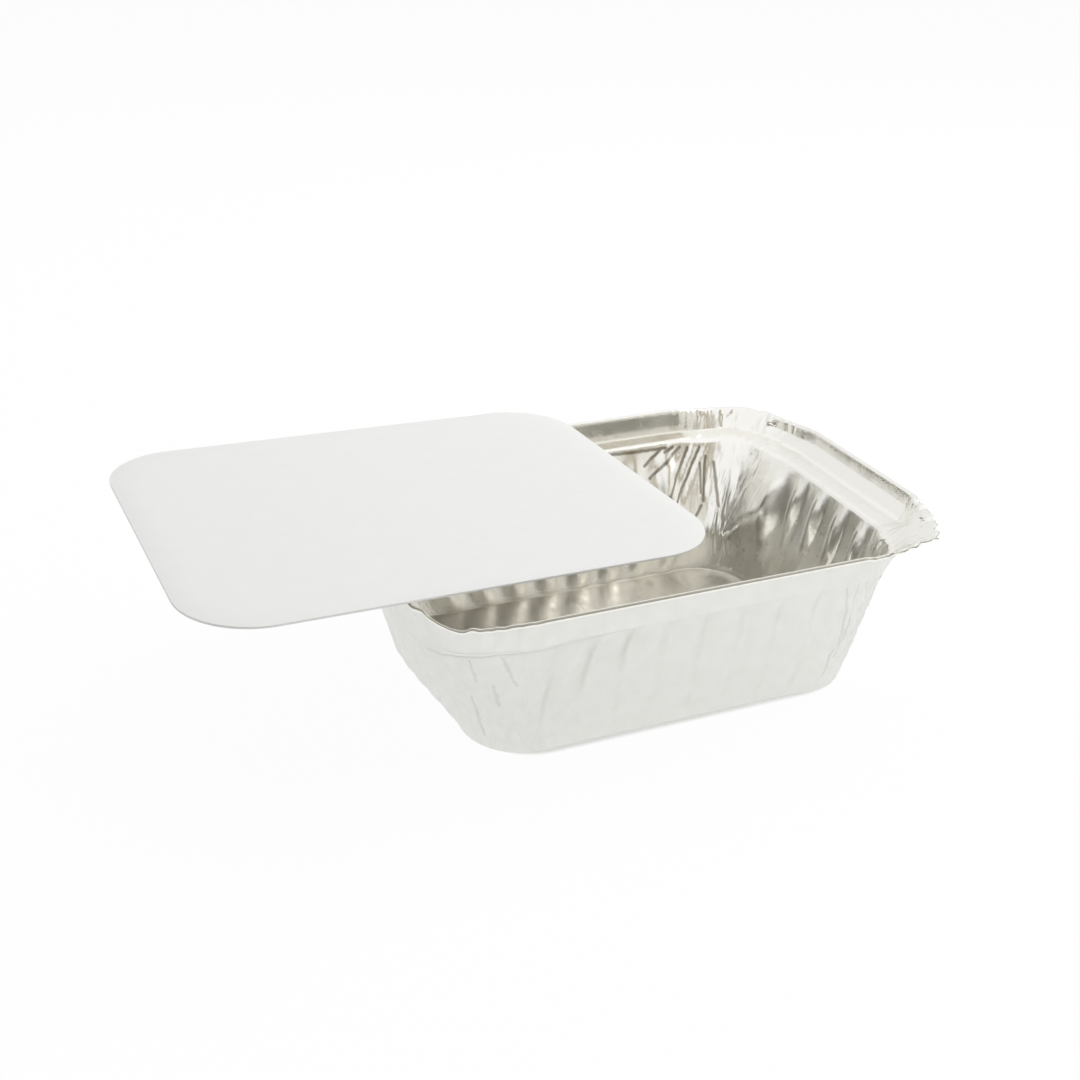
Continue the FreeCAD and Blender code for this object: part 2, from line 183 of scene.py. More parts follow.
def sectionRows(t, d):
    # the sheet's section from the middle of the floor to the tip of the rolled bead, as one column
    # of values for each of these names
    names = ("scale", "inset", "height", "radius", "depth", "flute", "gather", "rim", "lean", "pull")
    ledgeHeight = t["rimHeight"] - t["flangeHeight"]
    footInset = t["ledgeWidth"] + t["wallInset"]
    slope = math.atan(t["wallInset"] / ledgeHeight)
    half = t["foil"] / 2
    rows = []

    def add(scale, inset, height, radius, depth, flute, gather, rim, lean, pull):
        rows.append((scale, inset, height, radius, depth, flute, gather, rim, lean, pull))
    # arc from the level floor up to the wall, tangent to both
    bend = d["footBend"]
    reach = bend * math.tan((math.pi / 2 - slope) / 2)
    flatInset = footInset + reach
    flatRadius = t["footCorner"] - reach
    for scale in floorScales:
        add(scale, flatInset, half, flatRadius, 1, 0, 0, 0, 0, 0)
    for share in np.linspace(0, 1, 6):
        turn = (math.pi / 2 - slope) * share
        add(1, flatInset - bend * math.sin(turn), half + bend * (1 - math.cos(turn)),
            flatRadius + bend * math.sin(turn), 1, 0.3 * share, 0.15 * share, 0, 0, 0)
    # the wall, with its flutes eased in above the foot and out below the ledge
    start = bend * (1 - math.sin(slope)) / ledgeHeight
    bend = d["ledgeBend"]
    end = 1 - bend * math.tan((math.pi / 2 - slope) / 2) * math.cos(slope) / ledgeHeight
    for up in np.linspace(start, end, 25)[1:]:
        flute = float(easeStep((up - start) / 0.14 + 0.3) * easeStep((1.02 - up) / 0.24))
        add(1, t["ledgeWidth"] + t["wallInset"] * (1 - up), (ledgeHeight - d["ledgeDrop"]) * up,
            t["footCorner"] + up * (t["ledgeCorner"] - t["footCorner"]), 1 - up, flute,
            0.15 + 0.85 * up ** 0.8, 0, 0, up)
    # an arc over to the ledge
    wallEnd = t["ledgeWidth"] + t["wallInset"] * (1 - end)
    for share in np.linspace(0, 1, 6)[1:]:
        turn = slope + (math.pi / 2 - slope) * share     # tilt from upright
        inset = wallEnd - bend * (math.cos(slope) - math.cos(turn))
        height = ledgeHeight * end + bend * (math.sin(turn) - math.sin(slope))
        height -= d["ledgeDrop"] * inset / t["ledgeWidth"]
        add(1, inset, height, t["ledgeCorner"] + t["ledgeWidth"] - inset, 1 - end, 0.1 * (1 - share),
            1 - 0.3 * share, 0, 0, inset / t["ledgeWidth"])
    lastInset = rows[-1][1]
    for share in (0.2, 0.45, 0.7, 0.9):
        inset = lastInset * (1 - share)
        height = ledgeHeight - d["ledgeDrop"] * inset / t["ledgeWidth"]
        add(1, inset, height, t["rimCorner"] - inset * 0.95, 0, 0, 0.7 + 0.1 * share, share, 0,
            inset / t["ledgeWidth"])
    # the flange and the rolled bead
    roll = (t["bead"] - t["foil"]) / 2
    rollHeight = t["rimHeight"] - t["bead"] / 2
    for share in (0.03, 0.12, 0.3, 0.5, 0.68, 0.85):
        height = ledgeHeight + (rollHeight - ledgeHeight) * share
        add(1, 0, height, t["rimCorner"], 0, 0, 0.85, 1, share, 0)
    for angle in np.linspace(180, -60, 10):
        out = roll + roll * math.cos(math.radians(angle))
        height = rollHeight + roll * math.sin(math.radians(angle))
        add(1, -out, height, t["rimCorner"] + out, 0, 0, 0.85, 1,
            (height - ledgeHeight) / (rollHeight - ledgeHeight), 0)
    return SimpleNamespace(**{name: column[:, None] for name, column in zip(names, np.array(rows).T)})


def gatheredFolds(way, height, d, quarter, ledgeHeight, rng):
    # sharp creases that start at the rim and die out down the wall, each a narrow roof shape
    fold = 0 * way * height
    count = d["gathers"][quarter]
    for number in range(count):
        place = (number + 0.5 + rng.uniform(-0.35, 0.35)) / count * d["cornerWay"]
        deep = rng.uniform(0.4, 1.0) * (1 if number % 2 else -1)
        foot = rng.uniform(0.0, 0.75) * ledgeHeight
        slant = rng.uniform(-0.15, 0.15)
        width = rng.uniform(0.7, 1.7)
        away = np.abs(way - place - slant * (height - ledgeHeight)) / width
        fold += deep * np.maximum(0, 1 - away) * easeStep((height - foot) / 12.0)
    return fold


def crumpledFacets(way, height, seed):
    # three sizes of flat triangular facets, the large ones swayed a little
    sway = 0.5 * latticeHeights(way / 4 + 40, height / 5, seed + 9)
    return (latticeHeights(way / 3.1 + sway, height / 5.5, seed, True)
            + 0.5 * latticeHeights(way / 1.3 + sway, height / 2.4, seed + 1, True)
            + 0.22 * latticeHeights(way / 0.7, height / 1.1, seed + 2, True))


def flutedStretch(wall, row, halfOut, start, count, lean, travel, t, d):
    # a wall's straight part: cosine ridges pressed inwards, one at the middle of each pitch
    pitches = np.arange(count * d["stepsPerFlute"])[None, :] / d["stepsPerFlute"] - count / 2
    ridge = (0.5 + 0.5 * np.cos(2 * np.pi * ((pitches + count / 2) % 1.0 - 0.5))) ** d["ridgeSharp"][wall]
    vary = latticeHeights(np.floor(pitches) * 1.7 + 3 * wall + 20, row.height * 0.05, d["seed"] + 1)
    low = d["lowFlute"][wall]
    strong = low + (1 - low) * easeStep((0.58 - row.depth) / 0.35)
    deep = d["fluteShort"] if wall in (rightEnd, leftEnd) else d["fluteLong"]
    out = halfOut - deep * ridge * row.flute * (1 + 0.2 * vary) * strong
    leanShare = np.minimum(row.lean / d["bentAt"], 1) if wall == rightEnd else row.lean
    zero = 0 * out
    facing = zero + wall * np.pi / 2
    return (out + lean * leanShare, pitches * start * 2 / count + zero, zero + row.height, facing, facing,
            travel + (pitches + count / 2) * t["flutePitch"] + zero)


def cornerStretch(corner, row, halfAlong, halfOut, ends, leans, travel, t, d, rng):
    # from one wall's flutes to the next one's: straight, arc, straight, by its share of the way
    start, end = ends
    share = np.arange(d["stepsPerCorner"])[None, :] / d["stepsPerCorner"]
    first, arc, last = halfAlong - row.radius - start, row.radius * np.pi / 2, halfOut - row.radius - end
    way = share * (first + arc + last)
    turn = np.clip((way - first) / row.radius, 0, np.pi / 2)
    out = halfOut - row.radius + row.radius * np.cos(turn) - np.maximum(way - first - arc, 0)
    along = start + np.minimum(way, first) + row.radius * np.sin(turn)
    # gathers, crumples and the flange's pleats, none where the corner meets the flutes
    fade = np.sin(np.pi * share) ** 0.5
    rimWay = share * d["cornerWay"]
    fold = gatheredFolds(rimWay, row.height, d, corner, t["rimHeight"] - t["flangeHeight"], rng)
    facets = crumpledFacets(rimWay + 61 * corner, row.height, d["seed"] + 2)
    smooth = 1 - d["smoothBack"] * easeStep((share - 0.5) / 0.15)
    quiet = np.where((row.rim == 0) & (corner == rightEnd), smooth, 1)
    bump = fade * row.gather * quiet * (d["gatherDepth"][corner] * fold + d["crumple"][corner] * facets)
    pleats = latticeHeights(rimWay / d["pleatPitch"] + 37 * corner, 0.6 * row.lean, d["seed"] + 7)
    bump = bump + d["flangePleats"][corner] * pleats * fade * row.lean
    # the flange's lean goes from one wall's to the corner's and on to the next wall's
    lean, middleLean, nextLean = leans[0], d["leanCorners"][corner], leans[1]
    early = lean + easeStep(turn / (np.pi / 4)) * (middleLean - lean)
    late = middleLean + easeStep(turn / (np.pi / 4) - 1) * (nextLean - middleLean)
    leanHere = np.where(turn < np.pi / 4, early, late)
    bent = 0 * turn
    if corner == rightEnd:    # the back flange stands out as soon as its gathers begin
        leanHere = np.maximum(leanHere, middleLean * easeStep((0.98 - share) / 0.3) * (share > 0.5))
        bent = easeStep(1 - turn / 0.9)
    if corner == frontSide:
        bent = easeStep(turn / 0.9 - 0.75)
    bent = np.minimum(row.lean / d["bentAt"], 1) * bent
    move = bump + leanHere * np.maximum(row.lean, bent)
    teeth = 0.5 + 0.6 * latticeHeights(rimWay / d["toothPitch"] + 11 * corner, 0 * row.height, d["seed"] + 5)
    dip = d["ragged"][corner] * fade * row.lean * np.clip(teeth, 0, 1)
    onLedge = np.where((row.rim > 0) & (row.lean == 0), 0.5, 0.0)
    facing = 0 * out + corner * np.pi / 2
    return (out + move * np.cos(turn), along + move * np.sin(turn), row.height - dip + onLedge * bump,
            facing, facing + turn, travel + rimWay + 0 * out)


def pushedCorners(x, y, far, row, t):
    # the front corners go in along their diagonals: share 0..1 by nearness to the corner's middle
    near = easeStep(1 + ((np.abs(x) - y) / math.sqrt(2) - far) / t["tuckReach"])
    foot, wall, ledge, top = t["splayed"]
    sideWall = foot * row.depth + wall * (1 - row.depth)
    splayed = sideWall + (ledge + (top - ledge) * row.lean - sideWall) * row.rim
    foot, top = t["blunt"]
    sideWall = foot * row.depth + top * (1 - row.depth)
    blunt = sideWall + (top - sideWall) * row.rim
    tuck = np.where(x > 0, splayed, blunt) * near / math.sqrt(2)
    rise = np.where(x > 0, t["raised"] * row.rim * (1 - row.lean), 0) * near
    by, within, about = t["endSwing"]
    swing = -by * np.sin(np.pi / 2 * np.clip((y + about) / within, -1, 1)) * easeStep((-x - 30) / 20)
    return swing * row.depth - tuck * np.sign(x), tuck, rise


def tuckBackCorner(x, y, z, row, far, d):
    # the back right corner goes in along its diagonal, and the back of the ledge up
    near = easeStep(1 + ((x + y) / math.sqrt(2) - far) / 16)
    goIn = d["tuckedBack"] * near * np.clip(row.pull * (row.rim == 0) + (row.rim > 0), 0, 1) / math.sqrt(2)
    x, y, z = x - goIn, y - goIn, z - d["lowBack"] * near * row.lean
    return x, y, z + d["backLedgeUp"] * row.pull * easeStep((y - 25) / 15) * easeStep((54 - x) / 12)


def wallPush(x, y, z, u, row, ledgeHeight, d):
    # how far each point of the walls goes outwards
    # the back right corner's inward fold is deepest at its peak, straight above and eased below it
    near = easeStep((x - 18) / 18) * easeStep((y - 12) / 14)
    peak = d["bulgeHeight"] + d["bulgeRise"] * easeStep((36 - y) / 14)
    top = ledgeHeight - 0.8
    push = -d["bulge"] * near * np.clip(np.minimum(easeStep(z / peak), (top - z) / (top - peak)), 0, 1)
    # the front wall is pulled out towards the rim, most at its left end
    front = (0.5 + 0.5 * easeStep((-x - 5) / 50)) * easeStep((-x - 32) / 24 + easeStep((-y - 40) / 8))
    push = push + d["pulledOut"] * front * easeStep((-y - 8) / 26) * row.pull
    push = push + d["wallWave"] * latticeHeights(u / 13, z / 17 + 5, d["seed"] + 6) * np.clip(z / 6, 0, 1)
    return np.where(((row.rim == 0) & (row.scale == 1)) | (row.pull > 0), push, 0)


def backFolds(x, y, z, row, folds):
    # how far the back wall's soft folds stand back: a roof across each fold's line, eased at both ends
    deepest = 0 * x
    for topX, topZ, endX, endZ, width, deep in folds:
        length = math.hypot(endX - topX, endZ - topZ)
        downX, downZ = (endX - topX) / length, (endZ - topZ) / length
        run = (x - topX) * downX + (z - topZ) * downZ
        away = np.abs((x - topX) * downZ - (z - topZ) * downX) / width
        ends = easeStep(run / 1.5 + 0.5) * easeStep((length - run) / 3.0)
        deepest = deepest + deep * np.maximum(0, 1 - away) * ends
    return np.where((row.rim == 0) & (row.scale == 1) & (y > 20), deepest, 0)


def trayGrid(t, d):
    # middle surface of the sheet: rows of the section carried round the rounded rectangle,
    # moved along its own outward direction by flutes, gathers and crumples, then dented
    row = sectionRows(t, d)
    halfX = t["length"] / 2 - row.inset - t["endExtraInset"] * row.depth
    halfY = t["width"] / 2 - row.inset
    counts = (t["flutesShort"], t["flutesLong"]) * 2
    leans = (t["leanRight"], 0.0, t["leanLeft"], 0.0)
    rng = np.random.default_rng(d["seed"])
    patches = []
    travel = 0.0
    for wall in range(4):
        after = (wall + 1) % 4
        halfAlong, halfOut = (halfY, halfX) if wall in (rightEnd, leftEnd) else (halfX, halfY)
        start = np.minimum(counts[wall] * t["flutePitch"] / 2, halfAlong - row.radius)
        end = np.minimum(counts[after] * t["flutePitch"] / 2, halfOut - row.radius)
        patches.append(flutedStretch(wall, row, halfOut, start, counts[wall], leans[wall], travel, t, d))
        travel += counts[wall] * t["flutePitch"]
        patches.append(cornerStretch(wall, row, halfAlong, halfOut, (start, end), (leans[wall], leans[after]),
                                     travel, t, d, rng))
        travel += d["cornerWay"]
    out, along, z, facing, outward, u = (np.concatenate(a, axis=1) for a in zip(*patches))
    x = out * np.cos(facing) - along * np.sin(facing)
    y = out * np.sin(facing) + along * np.cos(facing)
    far = (halfX + halfY - (2 - math.sqrt(2)) * row.radius) / math.sqrt(2)    # middle of a corner's arc
    goX, goY, goUp = pushedCorners(x, y, far, row, t)
    x, y, z = tuckBackCorner(x + goX, y + goY, z + goUp, row, far, d)
    push = wallPush(x, y, z, u, row, t["rimHeight"] - t["flangeHeight"], d)
    x, y = x + push * np.cos(outward), y + push * np.sin(outward)
    y = y + backFolds(x, y, z, row, d["folds"])
    # the left end of the rim is bent up under the lid
    rise = (t["lidContact"] - x) * math.tan(math.radians(t["lidTilt"]))
    z = z + row.rim * rise * easeStep((-x - t["liftedFrom"]) / (t["length"] / 2 - t["liftedFrom"]))
    return np.stack([x * row.scale, y * row.scale, z], axis=-1), u


def foilSheet(name, points, u, thickness, rubbedAndShade):
    # both faces of the sheet, half its thickness to each side, joined round the bead's tip;
    # a fan closes each face at the middle of the floor
    rows, count = points.shape[:2]
    acrossUp = np.gradient(points, axis=0)
    acrossRound = np.roll(points, -1, axis=1) - np.roll(points, 1, axis=1)
    normal = np.cross(acrossUp, acrossRound)
    normal /= np.linalg.norm(normal, axis=-1, keepdims=True)
    normal[:len(floorScales) + 1] = (0, 0, 1)    # level over the flat floor
    half = thickness / 2
    inner, outer = points + normal * half, points - normal * half
    middle = np.array([[0, 0, thickness], [0, 0, 0.0]])
    allPoints = np.concatenate([inner.reshape(-1, 3), outer.reshape(-1, 3), middle])
    grid = np.arange(rows * count).reshape(rows, count)
    after = np.roll(grid, -1, axis=1)
    a, b, c, e = grid[:-1], after[:-1], after[1:], grid[1:]
    # both faces are split along the same diagonal, so the thin sheet never crosses itself
    innerTris = np.stack([e, c, b, e, b, a], axis=-1).reshape(-1, 3)
    outerTris = innerTris[:, ::-1] + rows * count
    tip = np.stack([grid[-1], grid[-1] + rows * count, after[-1] + rows * count, after[-1]], axis=-1)
    hub = 2 * rows * count
    floorTop = np.stack([grid[0], after[0], np.full(count, hub)], axis=-1)
    floorUnder = np.stack([after[0] + rows * count, grid[0] + rows * count, np.full(count, hub + 1)], axis=-1)
    tris = np.concatenate([innerTris, outerTris, floorTop, floorUnder])
    length = np.concatenate([np.zeros((1, count)), np.cumsum(
        np.linalg.norm(np.diff(points, axis=0), axis=-1), axis=0)])
    uv = np.stack([u, length], axis=-1).reshape(-1, 2) * mm
    uvs = np.concatenate([uv, uv, [[0, 0], [0, 0]]])
    piece = meshFromArrays(name, allPoints, tip, tris, uvs)
    piece.data.shade_smooth()
    piece.data.set_sharp_from_angle(angle=math.radians(38))    # pressed folds stay crisp
    # slot 0 is the bright upper face, slot 1 the satin lower one
    slots = np.repeat([1, 0, 1, 0, 1], [count, len(innerTris), len(outerTris), count, count]).astype(np.int32)
    # slot 2: a darker line along the bead's outer side, painted shade of the gap under the roll
    first, last = (count + 2 * count * (rows - 1 - n) for n in rubbedAndShade)
    slots[first:last] = 2
    piece.data.polygons.foreach_set("material_index", slots)
    return piece


points, sheetU = trayGrid(tray, trayDetail)
foilTray = foilSheet("foilTray", points, sheetU, tray["foil"], trayDetail["beadShadeRows"])
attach(foilTray, "root")
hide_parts("foil_tray")
print("tray sheet:", len(foilTray.data.polygons), "faces")


# the lid: board with softly cut edges; sizes in mm, angles in degrees
lid = {
    "length": 138.8, "width": 108.9, "corner": 19.4, "thickness": 0.6,
    "shift": (-58.1, 10.7), "turn": 4.9, "tilt": 3.2, "rest": 0.2,
    "edgeRound": 0.12,      # the cut edge's soft arris
    "ringSteps": 320,
}


def lidPlace(l, t):
    # tilted about the point where it touches the back rim
    tilt, turn = math.radians(l["tilt"]), math.radians(l["turn"])
    height = t["rimHeight"] + l["rest"] + (t["lidContact"] - l["shift"][0]) * math.tan(tilt)
    turned = Matrix.Rotation(tilt, 4, "Y") @ Matrix.Rotation(turn, 4, "Z")
    return Matrix.Translation((l["shift"][0], l["shift"][1], height)) @ turned


def boardSheet(name, l, t):
    # a rounded rectangle carried over a section: in across the underside, round the cut edge
    # and back across the top
    halfX, halfY, corner = l["length"] / 2, l["width"] / 2, l["corner"]
    # the ring's parts, a side and a corner in turn, and where each point lies on its part
    quarterArc = np.pi / 2 * corner
    sides = np.array([halfY - corner, quarterArc / 2, halfX - corner, quarterArc / 2] * 2) * 2
    way = np.arange(l["ringSteps"]) / l["ringSteps"] * sides.sum()
    edges = np.cumsum(sides)
    part = np.searchsorted(edges, way, side="right")
    along = way - np.concatenate([[0], edges[:-1]])[part]
    angle = (part // 2) * np.pi / 2 + np.where(part % 2 == 1, along / corner, 0)
    centreX = np.array([1, 1, 1, -1, -1, -1, -1, 1])[part] * (halfX - corner)
    centreY = np.array([0, 1, 1, 1, 0, -1, -1, -1])[part] * (halfY - corner)
    run = along - sides[part] / 2
    centreY = np.where(part == 0, run, np.where(part == 4, -run, centreY))
    centreX = np.where(part == 2, -run, np.where(part == 6, run, centreX))
    # the section: share of the way out, growth past the outline, height
    soft, thick = l["edgeRound"], l["thickness"]
    quarter = np.linspace(0, np.pi / 2, 4)
    shares = (0.1, 0.4, 0.7, 0.9)
    under = [(share, 0.0, 0.0) for share in shares]
    lower = [(1.0, -soft + soft * math.sin(a), soft - soft * math.cos(a)) for a in quarter]
    upper = [(1.0, -soft + soft * math.cos(a), thick - soft + soft * math.sin(a)) for a in quarter]
    over = [(share, 0.0, thick) for share in reversed(shares)]
    scale, grow, up = (a[:, None] for a in np.array(under + lower + upper + over).T)
    x = (centreX + (corner + grow) * np.cos(angle)) * scale
    y = (centreY + (corner + grow) * np.sin(angle)) * scale
    z = up + 0 * x
    rows, count = x.shape
    place = lidPlace(l, t)
    local = np.stack([x, y, z, np.ones_like(x)], axis=-1).reshape(-1, 4)
    local = np.concatenate([local, [[0, 0, 0, 1], [0, 0, thick, 1]]])
    world = (local @ np.array(place).T)[:, :3]
    grid = np.arange(rows * count).reshape(rows, count)
    after = np.roll(grid, -1, axis=1)
    quads = np.stack([grid[:-1], after[:-1], after[1:], grid[1:]], axis=-1).reshape(-1, 4)
    hub = rows * count
    tris = np.concatenate([np.stack([after[0], grid[0], np.full(count, hub)], axis=-1),
                           np.stack([grid[-1], after[-1], np.full(count, hub + 1)], axis=-1)])
    uvs = local[:, :2] * mm
    piece = meshFromArrays(name, world, quads, tris, uvs)
    piece.data.shade_smooth()
    piece.data.set_sharp_from_angle(angle=math.radians(40))
    return piece


lidBoard = boardSheet("lidBoard", lid, tray)
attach(lidBoard, "root")
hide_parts("board_lid")
print("lid board:", len(lidBoard.data.polygons), "faces")


# materials

smooth = {"interpolation_type": "SMOOTHSTEP"}
colourMix = {"data_type": "RGBA"}


def addNode(tree, kind, settings=None, **inputs):
    # settings are a dictionary, or the name of a math node's operation; an input is named, or i and
    # its number, and is given a socket to link, a hex colour or a plain value
    node = tree.nodes.new(kind)
    if isinstance(settings, str):
        settings = {"operation": settings}
    for key, value in (settings or {}).items():
        setattr(node, key, value)
    for key, value in inputs.items():
        socket = node.inputs[int(key[1:])] if key[1:].isdigit() else node.inputs[key.replace("_", " ")]
        if isinstance(value, bpy.types.NodeSocket):
            tree.links.new(value, socket)
        else:
            socket.default_value = hexColour(value) if isinstance(value, str) else value
    return node


# pinched creases, drawn as lines of painted shade: the direction that a wall faces, then both ends of each
# crease on it in mm
backCreases = ((0, 1, 0), (
    (37.0, 49, 39.4, 30.5, 47, 35.2), (43.5, 48, 39.3, 31.9, 46, 31.4), (46.0, 48, 38.9, 36.2, 42, 23.3),
    (49.9, 47, 38.9, 38.6, 40, 21.5), (48.0, 41, 21.5, 44.2, 40, 16.5), (49.4, 45, 34.0, 48.5, 42, 25.3),
    (51.4, 45, 36.0, 48.9, 41, 22.8), (53.9, 44, 34.0, 53.2, 40, 21.5), (41.0, 49, 39.5, 38.0, 48, 38.4),
    (18.0, 49, 39.9, 39.0, 49, 39.5),
))
frontLeftCreases = ((-0.707, -0.707, 0), (
    (-60.3, -49.5, 37.9, -57.0, -46.0, 30.1), (-57.3, -42.2, 23.6, -52.0, -35.5, 6.3),
    (-51.8, -50.8, 38.1, -47.3, -47.5, 27.3), (-52.9, -46.7, 28.2, -50.9, -44.2, 20.4),
))
frontRightCreases = ((0, -1, 0), (
    (44.6, -50, 35.9, 47.5, -44, 27.0), (47.5, -44, 27.0, 47.4, -42, 15.2), (46.1, -42, 13.9, 44.5, -41, 5.3),
    (49.5, -43, 21.2, 47.2, -42, 11.3),
))
# crease widths and wander in mm, bump strengths and the strength of the creases' painted shade as shares
brightFoil = {
    "colour": "#FAF9F4", "floorShadeColour": "#E2DED4",
    "roughness": 0.22, "floorRoughness": 0.42,
    "waveBump": 0.5, "streakBump": 0.5, "rollBump": 0.2,
    "creases": (backCreases,), "creaseWidth": 0.75, "creaseWander": 0.7,
    "creaseShadeColour": "#7F786A", "creaseShadeStrength": 0.8,
}
satinFoil = {
    "colour": "#EDEDE9", "floorShadeColour": "#EDEDE9",
    "roughness": 0.36, "floorRoughness": 0.4,
    "waveBump": 0.35, "streakBump": 0.3, "rollBump": 0.2,
    "creases": (frontLeftCreases, frontRightCreases), "creaseWidth": 0.6, "creaseWander": 1.6,
    "creaseShadeColour": "#A9A7A0", "creaseShadeStrength": 0.22,
}
# painted shade: a darker foil for the line along the bead, standing in for the shadow under the roll
beadShadeFoil = {
    "colour": "#A6A397", "floorShadeColour": "#A6A397",
    "roughness": 0.45, "floorRoughness": 0.45,
    "waveBump": 0.3, "streakBump": 0.3, "rollBump": 0.2,
    "creases": (),
}


def creaseShadeMask(tree, place, look):
    # where the creases' painted shade goes: 1 along the middle of each crease, by the distance from its line,
    # seen square to the wall, with the line wandering a little
    spot = addNode(tree, "ShaderNodeVectorMath", "SCALE", i0=place, Scale=1 / mm).outputs[0]
    noise = addNode(tree, "ShaderNodeTexNoise", Vector=spot, Scale=0.35, Detail=2.0).outputs["Color"]
    shift = addNode(tree, "ShaderNodeVectorMath", "SUBTRACT", i0=noise, i1=(0.5, 0.5, 0.5)).outputs[0]
    wander = (look["creaseWander"],) * 3
    spot = addNode(tree, "ShaderNodeVectorMath", "MULTIPLY_ADD", i0=shift, i1=wander, i2=spot).outputs[0]
    nearMiddle = 15.0    # mm, points closer to the tray's middle belong to the opposite wall
    width = look["creaseWidth"]
    total = 0.0
    for facing, creases in look["creases"]:
        facing = Vector(facing)
        ahead = addNode(tree, "ShaderNodeVectorMath", "DOT_PRODUCT", i0=spot, i1=facing).outputs["Value"]
        onSide = addNode(tree, "ShaderNodeMath", "GREATER_THAN", i0=ahead, i1=nearMiddle).outputs[0]
        lift = addNode(tree, "ShaderNodeVectorMath", "SCALE", i0=facing, Scale=ahead).outputs[0]
        flat = addNode(tree, "ShaderNodeVectorMath", "SUBTRACT", i0=spot, i1=lift).outputs[0]
        for crease in creases:
            start, end = (p - facing * p.dot(facing) for p in (Vector(crease[:3]), Vector(crease[3:])))
            line = end - start
            away = addNode(tree, "ShaderNodeVectorMath", "SUBTRACT", i0=flat, i1=start).outputs[0]
            run = addNode(tree, "ShaderNodeVectorMath", "DOT_PRODUCT", i0=away,
                          i1=line / line.length_squared).outputs["Value"]
            run = addNode(tree, "ShaderNodeMapRange", Value=run).outputs[0]
            foot = addNode(tree, "ShaderNodeVectorMath", "SCALE", i0=line, Scale=run).outputs[0]
            gap = addNode(tree, "ShaderNodeVectorMath", "DISTANCE", i0=away, i1=foot).outputs["Value"]
            share = addNode(tree, "ShaderNodeMapRange", smooth, Value=gap, From_Min=0.25 * width,
                            From_Max=width, To_Min=onSide, To_Max=0.0).outputs[0]
            total = addNode(tree, "ShaderNodeMath", "MAXIMUM", i0=total, i1=share).outputs[0]
    return total


def sheetGrain(tree, acrossMm, upMm, detail):
    # noise over the sheet's own flat coordinates, with grains of the given size
    sheet = addNode(tree, "ShaderNodeUVMap", {"uv_map": "sheet"}).outputs[0]
    scale = (1 / (acrossMm * mm), 1 / (upMm * mm), 1)
    mapped = addNode(tree, "ShaderNodeMapping", Vector=sheet, Scale=scale).outputs[0]
    return addNode(tree, "ShaderNodeTexNoise", Vector=mapped, Scale=1.0, Detail=detail).outputs[0]


def pressedFoil(name, look):
    # thin rolled aluminium pressed dry: rolled in pairs, so one face is bright and mirrors with soft
    # streaks, the other satin; drawn streaks run up the walls, and the rolling lines round the tray,
    # far finer in the real foil, are drawn at 0.25 mm so that they show
    material = bpy.data.materials.new(name)
    material.use_nodes = True
    tree = material.node_tree
    shader = tree.nodes["Principled BSDF"]
    shader.inputs["Metallic"].default_value = 1.0
    waves = sheetGrain(tree, 4, 5, 4.0)
    streaks = sheetGrain(tree, 0.9, 22, 3.0)
    rolling = sheetGrain(tree, 12, 0.25, 2.0)
    # the flat floor is scuffed duller than the walls
    place = addNode(tree, "ShaderNodeTexCoord").outputs["Object"]
    height = addNode(tree, "ShaderNodeSeparateXYZ", i0=place).outputs[2]
    dull = addNode(tree, "ShaderNodeMapRange", Value=height, From_Min=0.3 * mm, From_Max=2.5 * mm,
                   To_Min=look["floorRoughness"], To_Max=look["roughness"]).outputs[0]
    worn = addNode(tree, "ShaderNodeMapRange", Value=waves, From_Min=0.3, From_Max=0.7,
                   To_Min=0.8, To_Max=1.3).outputs[0]
    rough = addNode(tree, "ShaderNodeMath", "MULTIPLY", i0=dull, i1=worn).outputs[0]
    tree.links.new(rough, shader.inputs["Roughness"])
    # cloudy patches where the press rubbed the sheet
    rubbedAndShade = 0.97    # share of the light that a rubbed patch gives back
    rubbedColour = (*(rubbedAndShade * c for c in hexColour(look["colour"])[:3]), 1)
    colour = addNode(tree, "ShaderNodeMix", colourMix, Factor=waves, i6=look["colour"],
                     i7=rubbedColour).outputs[2]
    # painted shade and reflection: where a look's floor colour is darker, the tray's flat floor is given it
    # in place of the walls' colour
    floorShadeShare = addNode(tree, "ShaderNodeMapRange", Value=height, From_Min=0.3 * mm, From_Max=1.5 * mm,
                      To_Min=1.0, To_Max=0.0).outputs[0]
    colour = addNode(tree, "ShaderNodeMix", colourMix, Factor=floorShadeShare, i6=colour,
                     i7=look["floorShadeColour"]).outputs[2]
    # painted shade: the base colour is darkened towards a dark taupe along the creases
    if look["creases"]:    # little light comes back out of a closed fold
        creaseShadeAmount = addNode(tree, "ShaderNodeMath", "MULTIPLY",
                         i0=creaseShadeMask(tree, place, look), i1=look["creaseShadeStrength"]).outputs[0]
        colour = addNode(tree, "ShaderNodeMix", colourMix, Factor=creaseShadeAmount, i6=colour,
                         i7=look["creaseShadeColour"]).outputs[2]
    tree.links.new(colour, shader.inputs["Base Color"])
    normal = None
    for grain, strength, depthMm in ((waves, "waveBump", 0.25), (streaks, "streakBump", 0.05),
                                     (rolling, "rollBump", 0.01)):
        bump = addNode(tree, "ShaderNodeBump", Height=grain, Strength=look[strength],
                       Distance=depthMm * mm)
        if normal:
            tree.links.new(normal, bump.inputs["Normal"])
        normal = bump.outputs[0]
    tree.links.new(normal, shader.inputs["Normal"])
    return material


boardLook = {
    "colours": ("#EAEAE8", "#EEEEEC"),
    "roughness": 0.55,
    "fibreBump": 0.15,
}


